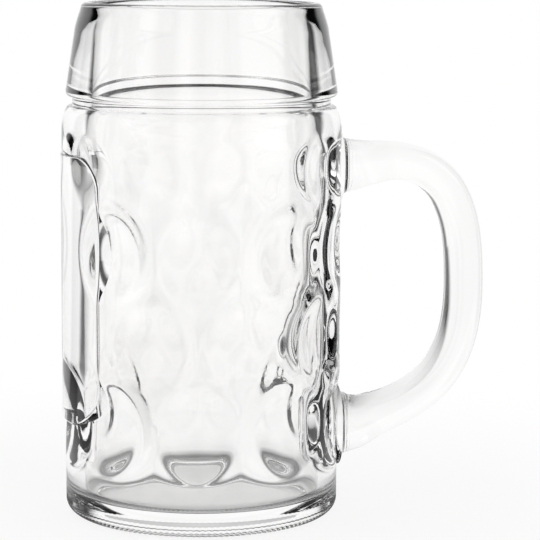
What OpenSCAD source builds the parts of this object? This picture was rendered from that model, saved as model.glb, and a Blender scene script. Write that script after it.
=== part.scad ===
// Dimpled pressed-glass beer mug with a separately pressed handle.
// Sizes are in millimetres and +Z is up. The origin is on the mug's axis, in the plane that it
// stands on. The handle points along +X, and the plain panel faces the other way.

/* [Body] */
// Height from the standing plane to the lip
mug_h = 200; // [180:1:220]
// Outer radius of the body, on the lands between the dimples
body_r = 54.6; // [54:0.2:57]
// Height of the smooth band at the foot, below the lowest row of dimples
foot_h = 19; // [15:0.5:22]
// Outer radius of the smooth band at the foot
foot_r = 53.6; // [51.5:0.1:54.5]
// Rounding of the foot's bottom corner
foot_round_r = 5.5; // [3:0.5:7]
// Width of the flat ring that the mug stands on
ring_w = 6.1; // [3:0.1:10]
// Depth of the shallow recess inside that ring
recess_depth = 1; // [0.5:0.1:2]
// Thickness of the wall in the foot, from its smooth band to the inside
foot_wall = 7.4; // [6.5:0.1:9]

/* [Shoulder, groove and collar] */
// Height of the shoulder's curve
shoulder_h = 10.5; // [8:0.5:13]
// Radius at the top of the shoulder, where the groove begins
shoulder_r = 51.2; // [50.5:0.1:52.5]
// Radius at the bottom of the groove under the collar
groove_r = 50.3; // [49:0.1:50.5]
// Height of that groove
groove_h = 3.6; // [2:0.2:5]
// Height of the collar, from its lower edge to the lip
collar_h = 36; // [30:1:42]
// Outer radius of the collar at its lower edge
collar_r = 52.9; // [51.5:0.1:54]
// Rounding of the collar's lower edge
collar_round_r = 1.6; // [0.8:0.1:2]
// Outer radius just under the lip
lip_r = 46.9; // [46:0.1:48.5]
// Outer radius where the collar bends in towards the lip
bend_r = 48.9; // [48.6:0.1:50.5]
// Depth of that bend below the lip
bend_depth = 8; // [6:0.5:12]

/* [Inside] */
// Radius of the inside, on the lands between the dimples
cavity_r = 46.2; // [45:0.1:47]
// Thickness of the wall behind the middle of a dimple, where the inside swells inwards
dimple_wall = 6.5; // [5.5:0.1:7.5]
// Radius of the inside at the lip
lip_bore_r = 42; // [41:0.1:42.8]
// Depth below the lip at which the bore starts to flare
flare_depth = 20; // [12:0.5:28]
// Radius of the inside where the flare ends and the neck begins
neck_r = 43; // [42.9:0.1:44]
// Depth of that place below the lip
neck_depth = 38; // [34:0.5:42]
// Height over which the neck widens to the cavity
neck_h = 20; // [14:1:26]
// Thickness of the floor
floor_t = 8.7; // [7:0.1:12]
// Rounding between the floor and the wall, inside
floor_round_r = 4; // [3:0.5:8]

/* [Dimples] */
// Columns of dimples in a full ring
dimple_columns = 9; // [8:1:10]
// Rows of dimples
dimple_rows = 4; // [3:1:4]
// Depth of a dimple at its middle
dimple_depth = 4.4; // [3:0.2:5]
// Radius of the ball that a dimple is cut with
dimple_ball_r = 36; // [30:1:40]
// Height of the middle of the lowest row above the foot's smooth band
low_row_rise = 20.5; // [19:0.5:24]
// Drop from the shoulder to the middle of the highest row
high_row_drop = 11.5; // [8:0.5:16]

/* [Panel] */
// How far the plain panel stands out from the lands
panel_rise = 0.4; // [0.2:0.1:0.8]
// Width of the panel, measured straight across
panel_w = 69; // [60:1:76]
// Drop from the shoulder to the panel's top edge
panel_top_drop = 5; // [3:0.5:10]
// Height of the panel's bottom edge above the foot's smooth band
panel_low_rise = 19; // [15:0.5:24]
// Rounding of the panel's upper corners
panel_top_round_r = 28; // [20:1:29]
// Rounding of the panel's lower corners
panel_low_round_r = 18; // [10:1:24]

/* [Handle] */
// Reach of the handle, from the mug's axis to its outermost point
handle_reach = 113.3; // [106:0.5:120]
// Thickness of the handle's grip, in the handle's own plane
handle_t = 14.9; // [12:0.1:17]
// Width of the handle's grip, across that plane
handle_w = 18.6; // [15:0.2:22]
// Length of the bosses on the body, from the lands to the joint faces
boss_l = 3.3; // [2:0.1:5]
// Drop from the shoulder to the middle of the upper joint
upper_joint_drop = 13.7; // [12:0.1:18]
// Height of the middle of the lower joint above the foot's smooth band
lower_joint_rise = 13.8; // [12:0.1:18]

/* [Hidden] */
$fn = 96;
// How far a cut runs past the face that it opens
overrun = 4;
// How deep a boss is rooted in the wall
boss_root = 6;
// Segments in a quarter turn of a small rounding
round_steps = 5;
// Segments in the curves of the shoulder outside and of the neck inside
shoulder_steps = 4;
neck_steps = 6;
// How far around the ring a dimple has to be from the panel's middle to show beside it
hidden_share = 0.55;

// Heights that the rest is placed by
collar_z = mug_h - collar_h;
groove_z = collar_z - groove_h;
shoulder_z = groove_z - shoulder_h;
low_row_z = foot_h + low_row_rise;
high_row_z = shoulder_z - high_row_drop;
row_pitch = (high_row_z - low_row_z) / (dimple_rows - 1);
column_pitch = 360 / dimple_columns;
lip_round_r = (lip_r - lip_bore_r) / 2;
neck_z = mug_h - neck_depth;
flare_slope = (neck_r - lip_bore_r) / (neck_depth - flare_depth);

// The ring that the mug stands on, the inside at the foot, and where each side leaves the foot
recess_r = foot_r - foot_round_r - ring_w;
foot_bore_r = foot_r - foot_wall;
body_low_z = foot_h + abs(body_r - foot_r);
cavity_low_z = body_low_z + foot_wall;

// The panel, seen along X
panel_r = body_r + panel_rise;
panel_low_z = foot_h + panel_low_rise;
panel_top_z = shoulder_z - panel_top_drop;
panel_half_angle = asin(panel_w / 2 / panel_r);

// The handle's middle line runs between the two joint faces
seal_x = body_r + boss_l;
grip_x = handle_reach - handle_t / 2;
upper_joint_z = shoulder_z - upper_joint_drop;
lower_joint_z = foot_h + lower_joint_rise;

// Points on the handle's middle line from the upper joint to the lower one. Each has its share of
// the way out from the joint faces to the grip, its share of the way up from the lower joint to
// the upper one, and its thickness and width as shares of the grip's.
handle_shares = [
    [0.00, 1.000, 1.40, 1.22],
    [0.19, 1.007, 1.17, 1.07],
    [0.40, 1.014, 1.02, 1.00],
    [0.63, 0.988, 0.99, 1.00],
    [0.81, 0.924, 1.00, 1.00],
    [0.92, 0.830, 1.01, 1.00],
    [0.98, 0.715, 1.00, 1.00],
    [1.00, 0.570, 1.00, 1.00],
    [0.99, 0.435, 1.00, 1.00],
    [0.94, 0.318, 1.00, 1.00],
    [0.84, 0.217, 1.01, 1.00],
    [0.70, 0.140, 1.02, 1.00],
    [0.51, 0.080, 1.05, 1.00],
    [0.25, 0.030, 1.16, 1.07],
    [0.00, 0.000, 1.58, 1.22]
];
// Rings from one of those points to the next
ring_steps = 4;
// Sides of the handle's section
section_sides = 24;
// How square the section is, where 2 is an ellipse
section_power = 2.5;

// A quarter of a circle, or less, about a centre, as points in order
function arc(centre, r, from, to, steps) = [
    for (i = [0:steps])
        let (a = from + (to - from) * i / steps)
        centre + r * [cos(a), sin(a)]
];

// The shoulder swells from the groove to the body along a quarter of an ellipse
function shoulder_curve() = [
    for (i = [0:shoulder_steps])
        let (a = 90 * i / shoulder_steps)
        [shoulder_r + (body_r - shoulder_r) * cos(a), shoulder_z + shoulder_h * sin(a)]
];

// The inside narrows from the cavity up to the flare, and meets it at the flare's own slope
function neck_widening(share, lean) =
    (lean - 2) * share * share * share + (3 - 2 * lean) * share * share + lean * share;
function neck_curve() =
    let (lean = flare_slope * neck_h / (cavity_r - neck_r))
    [
        for (i = [0:neck_steps])
            let (share = 1 - i / neck_steps)
            [neck_r + (cavity_r - neck_r) * neck_widening(share, lean), neck_z - neck_h * share]
    ];

// Half of the solid's outline outside, from the recess's middle up to the lip
function outside_curve() = concat(
    [[0, recess_depth], [recess_r - recess_depth, recess_depth], [recess_r, 0]],
    arc([foot_r - foot_round_r, foot_round_r], foot_round_r, -90, 0, round_steps),
    [[foot_r, foot_h], [body_r, body_low_z]],
    shoulder_curve(),
    [[groove_r, groove_z], [groove_r, collar_z]],
    arc([collar_r - collar_round_r, collar_z + collar_round_r], collar_round_r, -90, 0, round_steps),
    [[bend_r, mug_h - bend_depth]],
    arc([lip_r - lip_round_r, mug_h - lip_round_r], lip_round_r, 0, 90, round_steps)
);

// The same inside, from the floor's middle up past the lip. The foot's bore meets the cavity
// where the lowest dimples begin.
function inside_curve() = concat(
    [[0, floor_t]],
    arc([foot_bore_r - floor_round_r, floor_t + floor_round_r], floor_round_r, -90, 0, round_steps),
    [[cavity_r, cavity_low_z]],
    neck_curve(),
    [[lip_bore_r, mug_h - flare_depth]],
    arc([lip_r - lip_round_r, mug_h - lip_round_r], lip_round_r, 180, 90, round_steps)
);

module outside() {
    rotate_extrude() polygon(concat(outside_curve(), [[0, mug_h]]));
}

module inside() {
    difference() {
        rotate_extrude() polygon(concat(inside_curve(),
            [[lip_r - lip_round_r, mug_h + overrun], [0, mug_h + overrun]]));
        dimple_balls(dimple_ball_r + dimple_wall);
    }
}

// Angle of a dimple in a row, counted from the handle. Every second row is shifted half a column.
function dimple_angle(row, column) =
    (column + (row % 2 == 0 ? 0.5 : 0)) * column_pitch;

// How far an angle is from the panel's middle, and from the handle
function off_panel(angle) = abs(angle - 180);
function off_handle(angle) = min(angle, 360 - angle);

// The middle rows have no dimple where the panel would cover it whole, and the top row leaves the
// handle's upper boss on plain glass
function end_row(row) = row == 0 || row == dimple_rows - 1;
function dimple_shows(row, angle) =
    (end_row(row) || off_panel(angle) > panel_half_angle * hidden_share)
    && (row < dimple_rows - 1 || off_handle(angle) > column_pitch / 4);

// One ball for each dimple. The same balls, larger by the wall, shape the swellings inside.
module dimple_balls(r) {
    for (row = [0:dimple_rows - 1], column = [0:dimple_columns - 1]) {
        angle = dimple_angle(row, column);
        if (dimple_shows(row, angle))
            rotate([0, 0, angle])
                translate([body_r - dimple_depth + dimple_ball_r, 0, low_row_z + row * row_pitch])
                    sphere(r = r);
    }
}

// The panel's outline as seen from the -X side, with its two upper corners rounded more
module panel_outline() {
    half_w = panel_w / 2;
    top = panel_top_round_r;
    low = panel_low_round_r;
    polygon(concat(
        arc([half_w - low, panel_low_z + low], low, -90, 0, round_steps),
        arc([half_w - top, panel_top_z - top], top, 0, 90, round_steps),
        arc([top - half_w, panel_top_z - top], top, 90, 180, round_steps),
        arc([low - half_w, panel_low_z + low], low, 180, 270, round_steps)
    ));
}

module panel() {
    intersection() {
        cylinder(r = panel_r, h = shoulder_z);
        rotate([90, 0, -90]) linear_extrude(panel_r + overrun) panel_outline();
    }
}

// Section of the handle at unit thickness and width, as [share of thickness, share of width]
function section(side) =
    let (a = 360 * side / section_sides, bend = 2 / section_power)
    [sign(cos(a)) * pow(abs(cos(a)), bend), sign(sin(a)) * pow(abs(sin(a)), bend)];

// One of the handle's points in real sizes: [x, z, thickness, width]
function handle_point(shares) = [
    seal_x + shares[0] * (grip_x - seal_x),
    lower_joint_z + shares[1] * (upper_joint_z - lower_joint_z),
    shares[2] * handle_t,
    shares[3] * handle_w
];

// The point before the first and after the last is the neighbour mirrored in the joint face, so
// that the line leaves both faces square
function mirrored(p) = [2 * seal_x - p[0], p[1], p[2], p[3]];
last = len(handle_shares) - 1;
handle_points = [for (shares = handle_shares) handle_point(shares)];
guided_points = concat([mirrored(handle_points[1])], handle_points, [mirrored(handle_points[last - 1])]);

// Smooth line through the points, and its direction
function spline(a, b, c, d, t) =
    (2 * b + (c - a) * t + (2 * a - 5 * b + 4 * c - d) * t * t + (3 * b - a - 3 * c + d) * t * t * t) / 2;
function slope(a, b, c, d, t) =
    ((c - a) + 2 * (2 * a - 5 * b + 4 * c - d) * t + 3 * (3 * b - a - 3 * c + d) * t * t) / 2;

rings = last * ring_steps;
function at_ring(ring) = let (i = min(floor(ring / ring_steps), last - 1)) [i, ring / ring_steps - i];
function on_line(ring) =
    let (at = at_ring(ring), i = at[0])
    spline(guided_points[i], guided_points[i + 1], guided_points[i + 2], guided_points[i + 3], at[1]);
function along_line(ring) =
    let (at = at_ring(ring), i = at[0])
    slope(guided_points[i], guided_points[i + 1], guided_points[i + 2], guided_points[i + 3], at[1]);

// Points of one ring of the handle's skin, about the middle line
function ring_points(ring) =
    let (p = on_line(ring), s = along_line(ring), n = [s[1], -s[0]] / norm([s[0], s[1]]))
    [for (side = [0:section_sides - 1])
        let (share = section(side))
        [p[0] - n[0] * share[0] * p[2] / 2, share[1] * p[3] / 2, p[1] - n[1] * share[0] * p[2] / 2]
    ];

module handle_body() {
    points = [for (ring = [0:rings]) each ring_points(ring)];
    skin = [for (ring = [0:rings - 1], side = [0:section_sides - 1])
        let (
            a = ring * section_sides + side,
            b = ring * section_sides + (side + 1) % section_sides
        )
        each [[a, b, b + section_sides], [a, b + section_sides, a + section_sides]]
    ];
    first_cap = [for (side = [section_sides - 1:-1:0]) side];
    last_cap = [for (side = [0:section_sides - 1]) rings * section_sides + side];
    polyhedron(points, concat(skin, [first_cap, last_cap]));
}

// A boss on the body, with the same section as the handle's end that is sealed to it
module boss(joint) {
    p = handle_points[joint];
    translate([seal_x, 0, p[1]])
        rotate([90, 0, -90])
            linear_extrude(boss_l + boss_root)
                polygon([for (side = [0:section_sides - 1])
                    let (share = section(side)) [share[1] * p[3] / 2, share[0] * p[2] / 2]]);
}

module mug_body() {
    color([0.86, 0.92, 0.9, 0.45])
        difference() {
            union() {
                difference() {
                    outside();
                    dimple_balls(dimple_ball_r);
                }
                panel();
                boss(0);
                boss(last);
            }
            inside();
        }
}

module handle() {
    color([0.82, 0.9, 0.87, 0.45]) handle_body();
}

mug_body();
handle();
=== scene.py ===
"""Dimpled glass beer mug: a pressed glass body with a separately pressed handle fused to it."""

import math

import bmesh
import bpy
import numpy as np
from mathutils import Matrix, Vector


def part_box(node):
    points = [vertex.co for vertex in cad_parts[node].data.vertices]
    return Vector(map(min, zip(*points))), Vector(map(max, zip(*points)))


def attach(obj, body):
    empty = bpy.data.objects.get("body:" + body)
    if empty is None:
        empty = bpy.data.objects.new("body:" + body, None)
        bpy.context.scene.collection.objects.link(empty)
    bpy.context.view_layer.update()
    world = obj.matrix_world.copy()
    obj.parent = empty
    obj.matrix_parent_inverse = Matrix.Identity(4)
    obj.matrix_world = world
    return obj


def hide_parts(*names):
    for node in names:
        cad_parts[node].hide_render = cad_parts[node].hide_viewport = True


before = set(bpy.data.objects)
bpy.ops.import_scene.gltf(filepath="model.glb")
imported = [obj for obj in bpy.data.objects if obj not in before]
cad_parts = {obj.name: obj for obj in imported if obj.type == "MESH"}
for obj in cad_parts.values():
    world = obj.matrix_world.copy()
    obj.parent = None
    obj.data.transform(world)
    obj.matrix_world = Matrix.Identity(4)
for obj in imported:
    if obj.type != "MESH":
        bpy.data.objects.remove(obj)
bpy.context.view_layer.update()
BODY_LOW, BODY_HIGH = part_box("mug_body")
HANDLE_LOW, HANDLE_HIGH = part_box("handle")

bl_info = {
    "name": "Dimpled glass beer mug",
    "version": (1, 0, 0),
    "blender": (4, 5, 0),
    "location": "3D View > Sidebar > Beer mug",
    "description": "Models a dimpled glass mug with its fused handle, and a plain stage to show it on",
    "category": "Add Mesh",
}

FULL_TURN = 2 * math.pi
IMAGE_SIZE = 540

# Half of the gap left between boss and handle, so that their faces don't share a plane
HAIR = 0.00001

# Vertices nearer than this count as one
WELD = 1e-6


# Sizes and colours that a user would change


def length(name, description, default):
    """A size in metres."""
    return bpy.props.FloatProperty(
        name=name, description=description, default=default, min=0.0, unit="LENGTH", precision=4
    )


def turn(name, description, degrees):
    """An angle, given in degrees."""
    return bpy.props.FloatProperty(
        name=name, description=description, default=math.radians(degrees), unit="ROTATION"
    )


def share(name, description, default):
    """A plain number from 0 upwards."""
    return bpy.props.FloatProperty(name=name, description=description, default=default, min=0.0)


def colour(name, description, default):
    """A colour in linear light."""
    return bpy.props.FloatVectorProperty(
        name=name, description=description, default=default, size=3, subtype="COLOR", min=0.0, max=1.0
    )


def count(name, description, default):
    """A whole number."""
    return bpy.props.IntProperty(name=name, description=description, default=default, min=1)


class MugBodySizes(bpy.types.PropertyGroup):
    """Sizes of the turned body."""

    height: length("Height", "From the standing plane to the lip", BODY_HIGH.z)
    body_r: length("Body radius", "On the lands between the dimples", BODY_HIGH.y)
    foot_h: length("Foot height", "Smooth band under the lowest dimples", 0.019)
    foot_r: length("Foot radius", "Radius of that band", 0.0536)
    foot_round: length("Foot rounding", "Rounding of the bottom corner", 0.0055)
    ring_w: length("Standing ring", "Width of the ribbed ring that the mug stands on", 0.0061)
    recess: length("Recess", "Depth of the recess inside that ring", 0.001)
    ribs: count("Ribs", "Fine ribs in the standing ring", 144)
    rib: length("Rib depth", "Depth of those ribs", 0.0007)
    rib_h: length("Rib height", "Height that the ribs reach up the foot", 0.0073)
    shoulder_h: length("Shoulder height", "Height of the shoulder's curve", 0.0105)
    shoulder_r: length("Shoulder radius", "At the top of the shoulder", 0.0512)
    groove_r: length("Groove radius", "Bottom of the groove under the collar", 0.0503)
    groove_h: length("Groove height", "Height of that groove", 0.0036)
    collar_h: length("Collar height", "From its lower edge to the lip", 0.036)
    collar_r: length("Collar radius", "At its lower edge", 0.0529)
    collar_round: length("Collar rounding", "Rounding of that edge", 0.0016)
    lip_r: length("Lip radius", "Outside, just under the lip", 0.0469)
    bend_r: length("Bend radius", "Outside, where the collar bends in towards the lip", 0.0489)
    bend_depth: length("Bend depth", "Below the lip, of that place", 0.008)
    bore_r: length("Bore", "Radius of the inside at the lip", 0.042)
    flare_depth: length("Flare depth", "Below the lip, where the bore starts to flare", 0.020)
    neck_r: length("Neck radius", "Inside, where the flare ends and the neck begins", 0.043)
    neck_depth: length("Neck depth", "Below the lip, of that place", 0.038)
    neck_h: length("Neck height", "Height over which the neck widens to the cavity", 0.020)
    cavity_r: length("Cavity radius", "Inside, on the lands", 0.0462)
    floor_t: length("Floor", "Thickness of the floor", 0.0087)
    floor_round: length("Floor rounding", "Between the floor and the wall", 0.004)


class DimpleSizes(bpy.types.PropertyGroup):
    """Sizes of the dimples and of the swellings behind them."""

    columns: count("Columns", "Dimples in a full ring", 9)
    rows: count("Rows", "Rows of dimples", 4)
    low_depth: length("Low row depth", "Depth of a dimple in the lowest row", 0.0047)
    depth: length("Depth", "Depth of a dimple in the middle rows", 0.0037)
    top_depth: length("Top row depth", "Depth of a dimple in the top row", 0.0019)
    ball_r: length("Ball radius", "Radius of a dimple's hollow", 0.034)
    across: share("Bend across", "How much a hollow bends across the body, against its ball", 0.82)
    upright: share("Bend upright", "How much it bends from top to bottom, against its ball", 0.96)
    inner_across: share("Inner bend across", "The same for the swelling behind it", 0.2)
    inner_upright: share("Inner bend upright", "The same for the swelling behind it", 0.9)
    wall: length("Wall", "Thickness of the glass behind a dimple", 0.0073)
    low_z: length("Lowest row", "Height of the lowest row", 0.0395)
    high_z: length("Highest row", "Height of the highest row", 0.1384)
    edge: length("Soft edge", "Softness of a dimple's edge", 0.0014)
    inner_edge: length("Soft edge inside", "Softness of a swelling's edge", 0.002)


class PanelSizes(bpy.types.PropertyGroup):
    """Sizes of the plain panel opposite the handle."""

    rise: length("Rise", "How far it stands out from the lands", 0.0004)
    width: length("Width", "Straight across", 0.0655)
    low_z: length("Bottom edge", "Height of its bottom edge", 0.038)
    top_z: length("Top edge", "Height of its top edge", 0.1422)
    low_round: length("Lower corners", "Rounding of the lower corners", 0.018)
    top_round: length("Upper corners", "Rounding of the upper corners", 0.012)
    rim: length("Rim", "Rounding of the panel's rim", 0.0008)
    root: length("Root", "How deep the panel is rooted in the wall", 0.0075)


class HandleSizes(bpy.types.PropertyGroup):
    """Sizes of the handle and of the bosses that it is fused to."""

    reach: length("Reach", "From the mug's axis to the outermost point", HANDLE_HIGH.x - 0.00003)
    seal_x: length("Joint faces", "Distance of the joint faces from the axis", HANDLE_LOW.x)
    thick: length("Thickness", "Of the grip, in the handle's own plane", 0.0149)
    wide: length("Width", "Of the grip, across that plane", 0.0186)
    upper_z: length("Upper joint", "Height of its middle", 0.1362)
    lower_z: length("Lower joint", "Height of its middle", 0.0328)
    root: length("Boss root", "How deep a boss is rooted in the wall", 0.0065)
    fillet: length("Fillet", "Radius of the hollow fillet round a boss", 0.0044)
    seam: length("Seam", "Rounding at the seam between boss and handle", 0.00002)


class GlassLook(bpy.types.PropertyGroup):
    """The look of the glass."""

    tint: colour("Tint", "Darkest tint, from which the glass drifts to clear", (0.996, 0.992, 0.985))
    ior: share("Refractive index", "Of soda-lime glass", 1.51)
    wave: length("Waviness", "Depth of the pressed glass's faint waves", 0.00003)


class StageLook(bpy.types.PropertyGroup):
    """The floor, the light and the camera."""

    distance: length("Camera distance", "From the mug's axis", 0.925)
    camera_z: length("Camera height", "Above the floor", 0.227)
    azimuth: turn("Camera azimuth", "Round the mug, from straight in front", -8.0)
    pitch: turn("Camera pitch", "How far it looks down", 8.1)
    focal: share("Focal length in pixels", "At the photo's own width", 2375.0)
    aside: share("Axis left of the middle", "In pixels of the photo", 69.0)
    roll: turn("Camera roll", "Turn of the picture, anticlockwise", 0.28)
    floor_r: length("Floor radius", "Of the round pale floor", 1.5)
    overhead: share("Overhead light", "Strength of the white ceiling", 0.8)
    lamp: share("Lamp power", "Of the soft lamps, in watts", 2.0)


# Making pieces as by hand


def deselect():
    """Leaves object mode with nothing selected."""
    if bpy.context.mode != "OBJECT":
        bpy.ops.object.mode_set(mode="OBJECT")
    bpy.ops.object.select_all(action="DESELECT")


def edit(piece):
    """Puts one piece in edit mode with nothing of it selected."""
    deselect()
    piece.select_set(True)
    bpy.context.view_layer.objects.active = piece
    bpy.ops.object.mode_set(mode="EDIT")
    bpy.ops.mesh.select_all(action="DESELECT")


def select(piece, kind, wanted):
    """Selects the vertices, edges or faces of a piece in edit mode that wanted() says yes to."""
    skin = bmesh.from_edit_mesh(piece.data)
    for item in getattr(skin, kind):
        item.select_set(bool(wanted(item)))
    skin.select_flush_mode()
    bmesh.update_edit_mesh(piece.data)


def apply(piece, kind, **settings):
    """Adds a modifier and applies it."""
    deselect()
    piece.select_set(True)
    bpy.context.view_layer.objects.active = piece
    modifier = piece.modifiers.new(kind.title(), kind)
    for name, value in settings.items():
        setattr(modifier, name, value)
    bpy.ops.object.modifier_apply(modifier=modifier.name)


def tidy_skin(piece):
    """Merges doubles and turns the faces outwards."""
    edit(piece)
    bpy.ops.mesh.select_all(action="SELECT")
    bpy.ops.mesh.remove_doubles(threshold=WELD)
    bpy.ops.mesh.normals_make_consistent(inside=False)
    bpy.ops.object.mode_set(mode="OBJECT")


def place_in_mesh(piece):
    """Leaves the object at the origin with its place in its mesh."""
    deselect()
    piece.select_set(True)
    bpy.context.view_layer.objects.active = piece
    bpy.ops.object.transform_apply(location=True, rotation=True, scale=True)


def lathe(name, outline, steps):
    """Extrudes an outline of (radius, height) points one by one and turns it round the axis."""
    deselect()
    bpy.ops.mesh.primitive_plane_add(size=WELD)
    piece = bpy.context.object
    piece.name = piece.data.name = name
    bpy.ops.object.mode_set(mode="EDIT")
    bpy.ops.mesh.merge(type="CENTER")
    bpy.ops.transform.translate(value=(outline[0][0], 0, outline[0][1]))
    for (r0, z0), (r1, z1) in zip(outline, outline[1:]):
        bpy.ops.mesh.extrude_region_move(TRANSFORM_OT_translate={"value": (r1 - r0, 0, z1 - z0)})
    apply(piece, "SCREW", steps=steps, render_steps=steps, angle=FULL_TURN, axis="Z",
          use_merge_vertices=True, merge_threshold=WELD)
    tidy_skin(piece)
    return piece


def vertex_places(piece):
    """Places and normals of a piece's vertices, as two arrays."""
    number = len(piece.data.vertices)
    places = np.empty(number * 3, np.float32)
    normals = np.empty(number * 3, np.float32)
    piece.data.vertices.foreach_get("co", places)
    piece.data.vertex_normals.foreach_get("vector", normals)
    return places.reshape(-1, 3).astype(float), normals.reshape(-1, 3).astype(float)


def press(piece, amounts, direction="NORMAL"):
    """Moves each vertex by its own amount, in metres, with a painted group and a Displace modifier."""
    deepest = float(np.abs(amounts).max())
    if deepest < WELD:
        raise RuntimeError(f"nothing to press in {piece.name}")
    sign = 1 if amounts.sum() > 0 else -1
    group = piece.vertex_groups.new(name="pressed")
    for index in np.nonzero(np.abs(amounts) > WELD / 10)[0]:
        group.add([int(index)], float(abs(amounts[index]) / deepest), "REPLACE")
    apply(piece, "DISPLACE", direction=direction, mid_level=0.0, strength=sign * deepest,
          vertex_group=group.name)
    piece.vertex_groups.clear()


def soft_max(value, softness):
    """The larger of zero and value, blended over softness."""
    blend = np.clip(0.5 + 0.5 * value / softness, 0, 1)
    return value * blend + softness * blend * (1 - blend)


# Outlines


def arc(r, z, radius, start, end, steps):
    """Points of an arc about (r, z), with its angles in degrees."""
    angles = np.radians(np.linspace(start, end, steps + 1))
    return [(r + radius * math.cos(a), z + radius * math.sin(a)) for a in angles]


def run(start, end, steps):
    """Points between two others, without the first and with the last."""
    return [
        (start[0] + (end[0] - start[0]) * i / steps, start[1] + (end[1] - start[1]) * i / steps)
        for i in range(1, steps + 1)
    ]


def body_outline(b):
    """The body's outline from the middle of its underside, up the outside and down the inside."""
    below_top, rib_end = 0.001, 0.0005
    step_h, groove_round, bend_soft = 0.016, 0.0009, 0.0026
    recess_r = b.foot_r - b.foot_round - b.ring_w
    collar_z = b.height - b.collar_h
    groove_z = collar_z - b.groove_h
    shoulder_z = groove_z - b.shoulder_h
    lip_round = (b.lip_r - b.bore_r) / 2
    points = [(0, b.recess)]
    points += run((0, b.recess), (recess_r - 2 * b.recess, b.recess), 4)
    points += arc(recess_r - 2 * b.recess, b.recess / 2, b.recess / 2, 90, 0, 3)[1:]
    points += [(recess_r - b.recess, 0.0004), (recess_r - b.recess / 2, 0.0001), (recess_r, 0)]
    points += run((recess_r, 0), (b.foot_r - b.foot_round, 0), 6)
    points += arc(b.foot_r - b.foot_round, b.foot_round, b.foot_round, -90, 0, 12)[1:]
    points += run(points[-1], (b.foot_r, b.rib_h), 2)
    points += run(points[-1], (b.foot_r, b.rib_h + rib_end), 1)
    points += run(points[-1], (b.foot_r, b.foot_h - below_top), 3)
    for i in range(1, 15):
        t = i / 14
        wider = (b.body_r - b.foot_r) * t * t * (3 - 2 * t)
        points.append((b.foot_r + wider, b.foot_h - below_top + step_h * t))
    points += run(points[-1], (b.body_r, shoulder_z), 90)
    for i in range(1, 13):
        a = math.pi / 2 * i / 12
        wide = (b.body_r - b.shoulder_r) * math.cos(a)
        points.append((b.shoulder_r + wide, shoulder_z + b.shoulder_h * math.sin(a)))
    points += arc(b.groove_r + groove_round, groove_z + groove_round, groove_round, 270, 180, 4)[1:]
    points += arc(b.groove_r + groove_round, collar_z - groove_round, groove_round, 180, 90, 4)
    lean = math.atan((b.collar_r - b.bend_r) / (b.collar_h - b.bend_depth - b.collar_round))
    middle = (b.collar_r - b.collar_round, collar_z + b.collar_round)
    points += arc(*middle, b.collar_round, -90, math.degrees(lean), 8)
    bend_z = b.height - b.bend_depth
    points += run(points[-1], (points[-1][0] - 0.0003 * math.sin(lean), points[-1][1] + 0.0003), 1)
    points += run(points[-1], (b.bend_r + bend_soft * math.tan(lean), bend_z - bend_soft), 6)
    low, high = points[-1], (b.lip_r, b.height - lip_round)
    for i in range(1, 7):
        t = i / 6
        points.append(tuple(
            low[k] * (1 - t) ** 2 + 2 * (b.bend_r, bend_z)[k] * t * (1 - t) + high[k] * t**2 for k in (0, 1)
        ))
    points += arc(b.lip_r - lip_round, b.height - lip_round, lip_round, 0, 180, 16)[1:]
    return points + inside_outline(b, points[-1])


def inside_outline(b, lip):
    """The inside's outline from the lip down to the middle of the floor."""
    flare_z, neck_z = b.height - b.flare_depth, b.height - b.neck_depth
    slope = (b.neck_r - b.bore_r) / (flare_z - neck_z)
    soft = 0.004
    points = run(lip, (b.bore_r, flare_z + soft), 3)
    for i in range(1, 9):
        drop = 2 * soft * i / 8
        points.append((b.bore_r + slope * drop**2 / (4 * soft), flare_z + soft - drop))
    points += run(points[-1], (b.neck_r, neck_z), 5)
    lean = slope * b.neck_h / (b.cavity_r - b.neck_r)
    for i in range(1, 21):
        t = i / 20
        wide = (lean - 2) * t**3 + (3 - 2 * lean) * t**2 + lean * t
        points.append((b.neck_r + (b.cavity_r - b.neck_r) * wide, neck_z - b.neck_h * t))
    floor_z = b.floor_t + b.floor_round
    points += run(points[-1], (b.cavity_r, floor_z + 0.0006), 66)
    points += run(points[-1], (b.cavity_r, floor_z), 1)
    points += arc(b.cavity_r - b.floor_round, floor_z, b.floor_round, 0, -90, 10)[1:]
    points += run(points[-1], (points[-1][0] - 0.0004, b.floor_t), 1)
    points += run(points[-1], (0, b.floor_t), 5)
    return points


# Dimples


def dimple_centres(body, dimples, panel):
    """Centres of the balls that the dimples are pressed with."""
    pitch = (dimples.high_z - dimples.low_z) / (dimples.rows - 1)
    half_panel = math.asin(panel.width / 2 / (body.body_r + panel.rise))
    centres = []
    for row in range(dimples.rows):
        depth = dimples.depth
        if row == 0:
            depth = dimples.low_depth
        elif row == dimples.rows - 1:
            depth = dimples.top_depth
        far = body.body_r - depth + dimples.ball_r
        for column in range(dimples.columns):
            angle = FULL_TURN * (column + (0.5 if row % 2 == 0 else 0)) / dimples.columns
            end_row = row in (0, dimples.rows - 1)
            off_panel = abs(angle - math.pi)
            off_handle = min(angle, FULL_TURN - angle)
            if not end_row and off_panel < half_panel * 0.55:
                continue
            if row == dimples.rows - 1 and off_handle < FULL_TURN / dimples.columns / 4:
                continue
            centres.append((far * math.cos(angle), far * math.sin(angle), dimples.low_z + row * pitch))
    return centres


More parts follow.
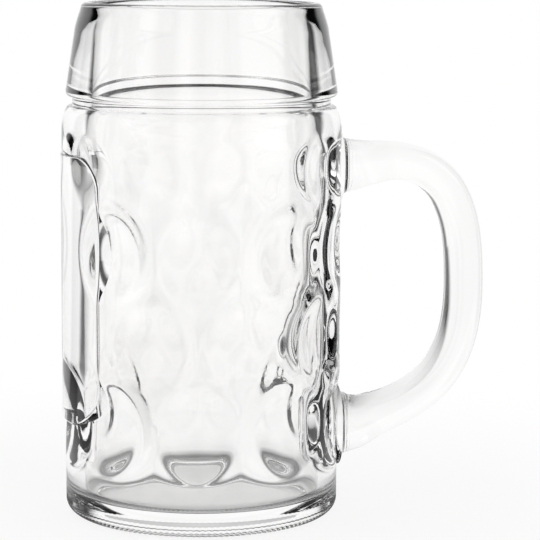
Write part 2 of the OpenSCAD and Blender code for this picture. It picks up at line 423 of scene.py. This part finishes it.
def pressed_depth(places, normals, centres, ball_r, across, upright):
    """How far each vertex lies inside the nearest hollow, measured along its normal."""
    deepest = np.full(len(places), -1.0)
    bend = np.array((1.0, across, upright))
    for centre in centres:
        far = math.hypot(centre[0], centre[1])
        out, side = (centre[0] / far, centre[1] / far), (-centre[1] / far, centre[0] / far)
        turned = np.array(((*out, 0), (*side, 0), (0, 0, 1))).T
        away = (places - np.array(centre)) @ turned * bend
        aim = normals @ turned * bend
        long = np.einsum("ij,ij->i", aim, aim)
        along = np.einsum("ij,ij->i", aim, away)
        room = along**2 - long * (np.einsum("ij,ij->i", away, away) - ball_r**2)
        reach = (np.sqrt(np.maximum(room, 0)) - np.abs(along)) / np.maximum(long, WELD)
        deepest = np.maximum(deepest, np.where(room > 0, reach, -1.0))
    return deepest


def press_dimples(piece, body, dimples, panel):
    """Presses the dimples into the outside and swells the inside behind them."""
    centres = dimple_centres(body, dimples, panel)
    places, normals = vertex_places(piece)
    radius = np.hypot(places[:, 0], places[:, 1])
    outward = (normals[:, 0] * places[:, 0] + normals[:, 1] * places[:, 1]) / np.maximum(radius, WELD)
    top = body.height - body.collar_h - body.groove_h
    outside = (outward > 0.5) & (places[:, 2] > body.foot_h) & (places[:, 2] < top - 0.002)
    inside = (outward < -0.5) & (places[:, 2] > body.floor_t + body.floor_round) & (places[:, 2] < top)
    hollow = pressed_depth(places, normals, centres, dimples.ball_r, dimples.across, dimples.upright)
    depth = soft_max(hollow, dimples.edge)
    press(piece, np.where(outside, -depth, 0))
    places, normals = vertex_places(piece)
    ball_r = dimples.ball_r + dimples.wall
    hump = pressed_depth(places, normals, centres, ball_r, dimples.inner_across, dimples.inner_upright)
    swell = soft_max(hump, dimples.inner_edge)
    press(piece, np.where(inside, swell, 0))


def press_ribs(piece, body):
    """Presses in every second spoke of the foot's rounding and standing ring, which leaves ribs."""
    ring_edge, corner_edge = 0.0005, 0.0003
    places, _ = vertex_places(piece)
    radius = np.hypot(places[:, 0], places[:, 1])
    spoke = np.rint(np.arctan2(places[:, 1], places[:, 0]) / FULL_TURN * 2 * body.ribs).astype(int)
    outer = body.foot_r - body.foot_round
    between = (radius > outer - body.ring_w + ring_edge) & (radius < outer - corner_edge)
    on_ring = (places[:, 2] < WELD) & between
    press(piece, np.where(on_ring & (spoke % 2 == 0), body.rib, 0), "Z")
    on_edge = (radius > outer + WELD) & (places[:, 2] < body.rib_h + WELD)
    press(piece, np.where(on_edge & (spoke % 2 == 0), -body.rib / 2, 0))


# The panel and the bosses


def panel_slab(body, panel):
    """The panel's slab: a rounded plate with a soft rim, bent round the body."""
    outer = body.body_r + panel.rise
    middle = (panel.low_z + panel.top_z) / 2
    tall = panel.top_z - panel.low_z
    deselect()
    bpy.ops.mesh.primitive_plane_add(size=1, location=(-outer, 0, middle), rotation=(0, -math.pi / 2, 0))
    slab = bpy.context.object
    slab.name = "panel_slab"
    slab.scale = (tall, panel.width, 1)
    place_in_mesh(slab)
    for high, rounding in ((True, panel.top_round), (False, panel.low_round)):
        edit(slab)
        bpy.ops.mesh.select_mode(type="VERT")
        z = panel.top_z if high else panel.low_z
        select(slab, "verts", lambda v, z=z: abs(v.co.z - z) < WELD)
        bpy.ops.mesh.bevel(offset=rounding, offset_type="OFFSET", segments=26, affect="VERTICES")
    bpy.ops.mesh.select_all(action="SELECT")
    bpy.ops.mesh.extrude_region_move(TRANSFORM_OT_translate={"value": (panel.root, 0, 0)})
    bpy.ops.mesh.select_all(action="SELECT")
    bpy.ops.mesh.normals_make_consistent(inside=False)
    bpy.ops.mesh.select_mode(type="EDGE")
    select(slab, "edges", lambda e: all(abs(v.co.x + outer) < WELD for v in e.verts))
    bpy.ops.mesh.bevel(offset=panel.rim, segments=5, affect="EDGES")
    for i in range(1, 46):
        bpy.ops.mesh.select_all(action="SELECT")
        y = panel.width * (i / 46 - 0.5)
        bpy.ops.mesh.bisect(plane_co=(0, y, 0), plane_no=(0, 1, 0))
    for i in range(1, 36):
        bpy.ops.mesh.select_all(action="SELECT")
        z = panel.low_z + tall * i / 36
        bpy.ops.mesh.bisect(plane_co=(0, 0, z), plane_no=(0, 0, 1))
    tidy_skin(slab)
    places, _ = vertex_places(slab)
    press(slab, outer - np.sqrt(outer**2 - places[:, 1] ** 2), "X")
    return slab


# Corners of the handle's section, and how square it is: 2 is an ellipse
SECTION_SIDES = 64
SECTION_POWER = 2.5

# How far a boss's fillet stops short of the joint, as a share of its radius
FILLET_STOP = 0.14


# Width of the rings of faces in an end cap
CAP_INSET = 0.002


def section_ring(name, place, tilt, thick, wide):
    """A ring with the handle's section, at its place and size and turned to the handle's line."""
    deselect()
    bpy.ops.mesh.primitive_circle_add(vertices=SECTION_SIDES, radius=1)
    ring = bpy.context.object
    ring.name = name
    bend = 2 / SECTION_POWER
    for v in ring.data.vertices:
        v.co.x = math.copysign(abs(v.co.x) ** bend, v.co.x)
        v.co.y = math.copysign(abs(v.co.y) ** bend, v.co.y)
    ring.location = place
    ring.rotation_euler = (0, tilt, 0)
    ring.scale = (thick / 2, wide / 2, 1)
    place_in_mesh(ring)
    return ring


def bridge_rings(rings, name):
    """Joins the rings, bridges each to the next and closes both ends with inset caps."""
    deselect()
    for ring in rings:
        ring.select_set(True)
    piece = rings[0]
    bpy.context.view_layer.objects.active = piece
    bpy.ops.object.join()
    piece.name = piece.data.name = name
    sides = SECTION_SIDES
    edit(piece)
    bpy.ops.mesh.select_mode(type="VERT")
    for i in range(len(rings) - 1):
        select(piece, "verts", lambda v, i=i: i * sides <= v.index < (i + 2) * sides)
        bpy.ops.mesh.bridge_edge_loops()
    for i in (0, len(rings) - 1):
        select(piece, "verts", lambda v, i=i: i * sides <= v.index < (i + 1) * sides)
        bpy.ops.mesh.edge_face_add()
        for _ in range(3):
            bpy.ops.mesh.inset(thickness=CAP_INSET)
        bpy.ops.mesh.poke()
    tidy_skin(piece)
    return piece


def boss(handle, z, thick, wide):
    """A boss on the body, flared where it leaves the wall."""
    rings = []
    centre = handle.seal_x + handle.fillet * FILLET_STOP
    last = math.acos(FILLET_STOP)
    base = 1 + handle.fillet * math.sin(last) * 2 / wide
    steps = [(handle.seal_x - handle.root - 0.002, base), (handle.seal_x - handle.root, base)]
    for i in range(0, 13):
        a = last * i / 12
        rise = handle.fillet * (math.sin(last) - math.sin(a))
        steps.append((centre - handle.fillet * math.cos(a) - handle.seam, 1 + rise * 2 / wide))
    steps += [(handle.seal_x - HAIR, 1 - 2 * handle.seam / thick)]
    for x, size in steps:
        rings.append(section_ring("boss_ring", (x, 0, z), -math.pi / 2, thick * size, wide * size))
    return bridge_rings(rings, "boss")


# The handle's middle line: way out to the grip, way up between the joints, thickness and width as shares
HANDLE_SHARES = (
    (0.00, 1.000, 1.40, 1.22),
    (0.19, 1.007, 1.17, 1.07),
    (0.40, 1.014, 1.02, 1.00),
    (0.63, 0.988, 0.99, 1.00),
    (0.81, 0.924, 1.00, 1.00),
    (0.92, 0.830, 1.01, 1.00),
    (0.98, 0.715, 1.00, 1.00),
    (1.00, 0.570, 1.00, 1.00),
    (0.99, 0.435, 1.00, 1.00),
    (0.94, 0.318, 1.00, 1.00),
    (0.84, 0.217, 1.01, 1.00),
    (0.70, 0.140, 1.02, 1.00),
    (0.51, 0.080, 1.05, 1.00),
    (0.25, 0.030, 1.16, 1.07),
    (0.00, 0.000, 1.58, 1.22),
)


def handle_line(handle, per_point):
    """Rings along the handle's middle line: place, tilt, thickness and width of each."""
    grip_x = handle.reach - handle.thick / 2
    rows = [
        np.array((
            handle.seal_x + x * (grip_x - handle.seal_x),
            handle.lower_z + z * (handle.upper_z - handle.lower_z),
            thick * handle.thick,
            wide * handle.wide,
        ))
        for x, z, thick, wide in HANDLE_SHARES
    ]
    before, after = rows[1].copy(), rows[-2].copy()
    before[0] = 2 * handle.seal_x - before[0]
    after[0] = 2 * handle.seal_x - after[0]
    before[2:] = 2 * rows[0][2:] - rows[1][2:]
    after[2:] = 2 * rows[-1][2:] - rows[-2][2:]
    guided = [before, *rows, after]
    found = []
    number = (len(rows) - 1) * per_point
    for i in range(number + 1):
        k = min(i // per_point, len(rows) - 2)
        t = i / per_point - k
        a, b, c, d = guided[k:k + 4]
        p = (2 * b + (c - a) * t + (2 * a - 5 * b + 4 * c - d) * t**2 + (3 * b - a - 3 * c + d) * t**3) / 2
        s = ((c - a) + 2 * (2 * a - 5 * b + 4 * c - d) * t + 3 * (3 * b - a - 3 * c + d) * t**2) / 2
        tilt = math.atan2(s[0], s[1])
        found.append([(p[0], 0, p[1]), tilt, p[2], p[3]])
    return found


# Materials


def new_material(name):
    """An empty node material and its tree, with an output node."""
    material = bpy.data.materials.new(name)
    material.use_nodes = True
    tree = material.node_tree
    tree.nodes.clear()
    return material, tree, tree.nodes.new("ShaderNodeOutputMaterial")


# Size of the glass's faint waves and of its drifting tint, as noise scales
WAVE_SCALE = 45.0
TINT_SCALE = 18.0


def glass(name, look, seed):
    """Clear pressed glass: faint waves in its skin and a slight change of its tint."""
    material, tree, output = new_material(name)
    nodes, links = tree.nodes, tree.links
    place = nodes.new("ShaderNodeTexCoord")
    spread = nodes.new("ShaderNodeMapping")
    spread.inputs["Location"].default_value = (seed, seed / 2, seed / 3)
    links.new(place.outputs["Object"], spread.inputs["Vector"])
    waves = nodes.new("ShaderNodeTexNoise")
    waves.inputs["Scale"].default_value = WAVE_SCALE
    waves.inputs["Detail"].default_value = 2.0
    links.new(spread.outputs["Vector"], waves.inputs["Vector"])
    bump = nodes.new("ShaderNodeBump")
    bump.inputs["Strength"].default_value = 1.0
    bump.inputs["Distance"].default_value = look.wave
    links.new(waves.outputs["Fac"], bump.inputs["Height"])
    streak = nodes.new("ShaderNodeTexNoise")
    streak.inputs["Scale"].default_value = TINT_SCALE
    links.new(spread.outputs["Vector"], streak.inputs["Vector"])
    # In the glass this ramp is the glass's own tint, drifting at random with the noise
    tint_and_painted_shadow = nodes.new("ShaderNodeValToRGB")
    tint_and_painted_shadow.color_ramp.elements[0].color = (*look.tint, 1)
    tint_and_painted_shadow.color_ramp.elements[1].color = (1.0, 1.0, 1.0, 1)
    links.new(streak.outputs["Fac"], tint_and_painted_shadow.inputs["Fac"])
    shader = nodes.new("ShaderNodeBsdfPrincipled")
    shader.inputs["Roughness"].default_value = 0.0
    shader.inputs["IOR"].default_value = look.ior
    shader.inputs["Transmission Weight"].default_value = 1.0
    links.new(tint_and_painted_shadow.outputs["Color"], shader.inputs["Base Color"])
    links.new(bump.outputs["Normal"], shader.inputs["Normal"])
    links.new(shader.outputs["BSDF"], output.inputs["Surface"])
    return material


def fused_face(name):
    """The faces where boss and handle are fused, where light passes straight on."""
    material, tree, output = new_material(name)
    shader = tree.nodes.new("ShaderNodeBsdfTransparent")
    tree.links.new(shader.outputs["BSDF"], output.inputs["Surface"])
    return material


def dress(piece, skin, fused, seal_x):
    """Gives a piece its glass, and the fused look to its faces in the plane of the joints."""
    piece.data.materials.clear()
    piece.data.materials.append(skin)
    piece.data.materials.append(fused)
    for face in piece.data.polygons:
        at_joint = all(abs(piece.data.vertices[i].co.x - seal_x) < 2 * HAIR for i in face.vertices)
        face.material_index = 1 if at_joint else 0


def smooth(piece, degrees):
    """Smooth shading, with an edge where faces turn by more than an angle."""
    deselect()
    piece.select_set(True)
    bpy.context.view_layer.objects.active = piece
    bpy.ops.object.shade_smooth_by_angle(angle=math.radians(degrees))


# Operators


class MESH_OT_mug_body(bpy.types.Operator):
    """Turns the body, presses its dimples and adds the panel and the bosses"""

    bl_idname = "mesh.mug_body"
    bl_label = "Mug body"

    def execute(self, context):
        scene = context.scene
        body, dimples, panel, handle = scene.mug_body, scene.mug_dimples, scene.mug_panel, scene.mug_handle
        piece = lathe("mug_glass", body_outline(body), 2 * body.ribs)
        press_ribs(piece, body)
        press_dimples(piece, body, dimples, panel)
        slab = panel_slab(body, panel)
        first, last = HANDLE_SHARES[0], HANDLE_SHARES[-1]
        upper = boss(handle, handle.upper_z, first[2] * handle.thick, first[3] * handle.wide)
        lower = boss(handle, handle.lower_z, last[2] * handle.thick, last[3] * handle.wide)
        deselect()
        for part in (slab, upper, lower):
            part.select_set(True)
        context.view_layer.objects.active = slab
        bpy.ops.object.join()
        apply(piece, "BOOLEAN", operation="UNION", object=slab, solver="EXACT")
        bpy.data.objects.remove(slab)
        tidy_skin(piece)
        smooth(piece, 35)
        dress(piece, glass("body_glass", scene.mug_look, 0.0), fused_face("fused_joint"), handle.seal_x)
        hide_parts("mug_body")
        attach(piece, "root")
        return {"FINISHED"}


class MESH_OT_mug_handle(bpy.types.Operator):
    """Bridges the handle from rings along its middle line"""

    bl_idname = "mesh.mug_handle"
    bl_label = "Mug handle"

    def execute(self, context):
        handle = context.scene.mug_handle
        line = handle_line(handle, 7)
        seam = handle.seam
        for end, other, side in ((0, 1, 1), (-1, -2, -1)):
            place, tilt, thick, wide = line[end]
            line[other] = [(place[0] + seam, 0, place[2]), tilt, thick, wide]
            line[end] = [(place[0] + HAIR, 0, place[2]), tilt, thick - 2 * seam, wide - 2 * seam]
        rings = [section_ring("handle_ring", *row) for row in line]
        piece = bridge_rings(rings, "handle_glass")
        smooth(piece, 35)
        dress(piece, glass("handle_glass", context.scene.mug_look, 3.0), bpy.data.materials["fused_joint"],
              handle.seal_x)
        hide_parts("handle")
        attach(piece, "root")
        return {"FINISHED"}


# Places and size of the square soft lamps, in metres
LAMPS = (("lamp_left", (-1.2, -0.9, 1.3)), ("lamp_right", (1.3, -0.7, 1.1)))
LAMP_SIZE = 1.0


class SCENE_OT_mug_stage(bpy.types.Operator):
    """Makes the floor, the light and the camera"""

    bl_idname = "scene.mug_stage"
    bl_label = "Stage"

    def execute(self, context):
        scene = context.scene
        stage = scene.mug_stage
        deselect()
        bpy.ops.mesh.primitive_circle_add(vertices=96, radius=stage.floor_r, fill_type="NGON")
        floor = context.object
        floor.name = "stage_floor"
        floor.data.materials.append(floor_material(stage))
        world_light(scene, stage)
        for name, place in LAMPS:
            soft_lamp(name, place, LAMP_SIZE, stage.lamp)
        place_camera(scene, stage)
        scene.view_settings.view_transform = "Standard"
        return {"FINISHED"}


def math_step(tree, operation, first, second=None, clamp=False):
    """A Math node on sockets or numbers."""
    step = tree.nodes.new("ShaderNodeMath")
    step.operation = operation
    step.use_clamp = clamp
    for socket, value in zip(step.inputs, (first, second)):
        if isinstance(value, (int, float)):
            socket.default_value = value
        elif value is not None:
            tree.links.new(value, socket)
    return step.outputs["Value"]


def fade(tree, value, low, high, start, end):
    """A soft change from one number to another between two places."""
    change = tree.nodes.new("ShaderNodeMapRange")
    change.interpolation_type = "SMOOTHSTEP"
    tree.links.new(value, change.inputs["Value"])
    for name, number in (("From Min", low), ("From Max", high), ("To Min", start), ("To Max", end)):
        change.inputs[name].default_value = number
    return change.outputs["Result"]


# Painted shadow on the floor round the mug: its grey as the glass shows it, by distance from the axis as a
# share of the floor's radius
FLOOR_PAINTED_SHADOW = (
    (0.029, 0.46),
    (0.033, 0.16),
    (0.039, 0.20),
    (0.05, 0.55),
    (0.066, 0.84),
    (0.09, 0.94),
    (0.9, 1.0),
)

# Shares of the floor's radius between which the painted reflections of the gaps, and the floor's plain
# white, set in
PAINTED_GAPS_FADE = (0.06, 0.3)
WHITE_FADE = (0.06, 0.2)

# How much of the floor near the mug is plain white to the camera, and the rest keeps the shadow
WHITE_NEAR = 0.86


def floor_material(stage):
    """A pale floor that shows white and keeps a light shadow; in the glass it shows a painted shadow near
    the mug and painted reflections of the gaps further out.
    """
    material, tree, output = new_material("stage_floor")
    nodes, links = tree.nodes, tree.links
    matt = nodes.new("ShaderNodeBsdfDiffuse")
    matt.inputs["Color"].default_value = (0.9, 0.9, 0.9, 1)
    place = nodes.new("ShaderNodeTexCoord")
    away = nodes.new("ShaderNodeVectorMath")
    away.operation = "LENGTH"
    links.new(place.outputs["Object"], away.inputs[0])
    share_out = math_step(tree, "DIVIDE", away.outputs["Value"], stage.floor_r)
    # Painted shadow: glossy and transmission rays see the floor grey near the mug, darkest in a ring by the
    # foot
    tint_and_painted_shadow = nodes.new("ShaderNodeValToRGB")
    stops = tint_and_painted_shadow.color_ramp.elements
    stops[0].position, stops[1].position = FLOOR_PAINTED_SHADOW[0][0], FLOOR_PAINTED_SHADOW[-1][0]
    for at, _ in FLOOR_PAINTED_SHADOW[1:-1]:
        stops.new(at)
    for stop, (_, grey) in zip(stops, FLOOR_PAINTED_SHADOW):
        stop.color = (grey, grey, grey, 1)
    links.new(share_out, tint_and_painted_shadow.inputs["Fac"])
    path = nodes.new("ShaderNodeLightPath")
    seen = nodes.new("ShaderNodeMix")
    seen.data_type = "RGBA"
    links.new(path.outputs["Is Camera Ray"], seen.inputs["Factor"])
    links.new(tint_and_painted_shadow.outputs["Color"], seen.inputs["A"])
    seen.inputs["B"].default_value = (1, 1, 1, 1)
    # Emission: white to the camera, and the painted shadow's grey to glossy and transmission rays
    white = nodes.new("ShaderNodeEmission")
    links.new(seen.outputs["Result"], white.inputs["Color"])
    # Painted reflections of the gaps: dark wedges on the floor by azimuth, seen only in the glass and
    # fading in away from the mug
    parts = nodes.new("ShaderNodeSeparateXYZ")
    links.new(place.outputs["Object"], parts.inputs["Vector"])
    backwards = math_step(tree, "MULTIPLY", parts.outputs["Y"], -1.0)
    azimuth = math_step(tree, "ARCTAN2", parts.outputs["X"], backwards)
    plain = math_step(tree, "SUBTRACT", 1.0, fade(tree, share_out, *PAINTED_GAPS_FADE, 0.0, 1.0))
    # Emission strength: the painted gap wedges for glossy and transmission rays, full strength for the
    # camera
    between = math_step(tree, "MAXIMUM", screens(tree, azimuth), plain)
    links.new(math_step(tree, "MAXIMUM", between, path.outputs["Is Camera Ray"]), white.inputs["Strength"])
    near = fade(tree, share_out, *WHITE_FADE, WHITE_NEAR, 1.0)
    direct = math_step(tree, "MULTIPLY", path.outputs["Is Camera Ray"], near)
    bent = math_step(tree, "ADD", path.outputs["Is Glossy Ray"], path.outputs["Is Transmission Ray"])
    mix = nodes.new("ShaderNodeMixShader")
    links.new(math_step(tree, "ADD", direct, bent, clamp=True), mix.inputs["Fac"])
    links.new(matt.outputs["BSDF"], mix.inputs[1])
    links.new(white.outputs["Emission"], mix.inputs[2])
    links.new(mix.outputs["Shader"], output.inputs["Surface"])
    return material


# Heights in degrees between which the screens give way to the ceiling
CEILING = (50, 70)

# Dark gaps between the white screens: azimuth, half width and softness in degrees, and darkness
GAPS = (
    (119, 5, 11, 0.98),
    (231, 3, 8, 0.98),
    (318, 6, 12, 0.97),
    (356, 4, 12, 0.5),
    (88, 7, 12, 0.97),
)


def screens(tree, azimuth):
    """The light of the screens by azimuth, 1 in front of a screen and less in a gap; the floor uses it to
    paint reflections of the gaps.
    """
    light = math_step(tree, "ADD", 1.0, 0.0)
    for middle, half, soft, dark in GAPS:
        wrap = tree.nodes.new("ShaderNodeMath")
        wrap.operation = "WRAP"
        tree.links.new(math_step(tree, "SUBTRACT", azimuth, math.radians(middle)), wrap.inputs[0])
        wrap.inputs[1].default_value = math.pi
        wrap.inputs[2].default_value = -math.pi
        aside = math_step(tree, "ABSOLUTE", wrap.outputs["Value"])
        shade = fade(tree, aside, math.radians(half), math.radians(half + soft), dark, 0.0)
        light = math_step(tree, "MULTIPLY", light, math_step(tree, "SUBTRACT", 1.0, shade))
    return light


def world_light(scene, stage):
    """A room of white screens with dark gaps between them, which draw the dark lines in the glass."""
    world = bpy.data.worlds.new("studio")
    scene.world = world
    world.use_nodes = True
    tree = world.node_tree
    tree.nodes.clear()
    nodes, links = tree.nodes, tree.links
    output = nodes.new("ShaderNodeOutputWorld")
    look = nodes.new("ShaderNodeTexCoord")
    parts = nodes.new("ShaderNodeSeparateXYZ")
    links.new(look.outputs["Generated"], parts.inputs["Vector"])
    x, y, z = parts.outputs
    azimuth = math_step(tree, "ARCTAN2", x, math_step(tree, "MULTIPLY", y, -1.0))
    height = math_step(tree, "ARCSINE", z)
    top = fade(tree, height, math.radians(CEILING[0]), math.radians(CEILING[1]), 0.0, 1.0)
    overhead = math_step(tree, "MULTIPLY", top, stage.overhead)
    around = math_step(tree, "MULTIPLY", screens(tree, azimuth), math_step(tree, "SUBTRACT", 1.0, top))
    strength = math_step(tree, "ADD", overhead, around)
    path = nodes.new("ShaderNodeLightPath")
    room = nodes.new("ShaderNodeBackground")
    room.inputs["Color"].default_value = (1, 1, 1, 1)
    links.new(math_step(tree, "MAXIMUM", strength, path.outputs["Is Camera Ray"]), room.inputs["Strength"])
    links.new(room.outputs["Background"], output.inputs["Surface"])


def soft_lamp(name, place, size, power):
    """A square soft lamp aimed at the middle of the mug."""
    deselect()
    bpy.ops.object.light_add(type="AREA", location=place)
    lamp = bpy.context.object
    lamp.name = name
    lamp.data.size = size
    lamp.data.energy = power
    lamp.rotation_euler = (Vector((0, 0, 0.1)) - Vector(place)).to_track_quat("-Z", "Y").to_euler()


def place_camera(scene, stage):
    """The photo's view: the axis stands left of the middle."""
    back = Vector((math.sin(stage.azimuth), -math.cos(stage.azimuth), 0))
    side = Vector((math.cos(stage.azimuth), math.sin(stage.azimuth), 0))
    yaw = math.atan2(stage.aside, stage.focal)
    level = -back * math.cos(yaw) + side * math.sin(yaw)
    right = side * math.cos(yaw) + back * math.sin(yaw)
    ahead = level * math.cos(stage.pitch) + Vector((0, 0, -math.sin(stage.pitch)))
    up = right.cross(ahead)
    camera = bpy.data.cameras.new("camera")
    camera.lens = stage.focal / IMAGE_SIZE * camera.sensor_width
    camera.clip_end = 100
    holder = bpy.data.objects.new("camera", camera)
    scene.collection.objects.link(holder)
    turned = Matrix((right, up, -ahead)).transposed() @ Matrix.Rotation(stage.roll, 3, "Z")
    place = back * stage.distance + Vector((0, 0, stage.camera_z))
    holder.matrix_world = Matrix.Translation(place) @ turned.to_4x4()
    scene.camera = holder


class VIEW3D_PT_mug(bpy.types.Panel):
    """Lists the mug's pieces"""

    bl_label = "Beer mug"
    bl_idname = "VIEW3D_PT_mug"
    bl_space_type = "VIEW_3D"
    bl_region_type = "UI"
    bl_category = "Beer mug"

    def draw(self, context):
        scene = context.scene
        for name in GROUPS:
            box = self.layout.box()
            sizes = getattr(scene, name)
            for prop in sizes.bl_rna.properties:
                if prop.identifier not in ("rna_type", "name"):
                    box.prop(sizes, prop.identifier)
        for operator in OPERATORS:
            self.layout.operator(operator.bl_idname)


GROUPS = {
    "mug_body": MugBodySizes,
    "mug_dimples": DimpleSizes,
    "mug_panel": PanelSizes,
    "mug_handle": HandleSizes,
    "mug_look": GlassLook,
    "mug_stage": StageLook,
}
OPERATORS = (MESH_OT_mug_body, MESH_OT_mug_handle, SCENE_OT_mug_stage)
CLASSES = (*GROUPS.values(), *OPERATORS, VIEW3D_PT_mug)


def register():
    """Registers the classes and hangs the sizes on the scene."""
    for made in CLASSES:
        bpy.utils.register_class(made)
    for name, group in GROUPS.items():
        setattr(bpy.types.Scene, name, bpy.props.PointerProperty(type=group))


def unregister():
    """Takes them away again."""
    for name in GROUPS:
        delattr(bpy.types.Scene, name)
    for made in reversed(CLASSES):
        bpy.utils.unregister_class(made)


def main():
    """Makes every piece and the stage."""
    register()
    bpy.ops.mesh.mug_body()
    bpy.ops.mesh.mug_handle()
    bpy.ops.scene.mug_stage()


if __name__ == "__main__":
    main()
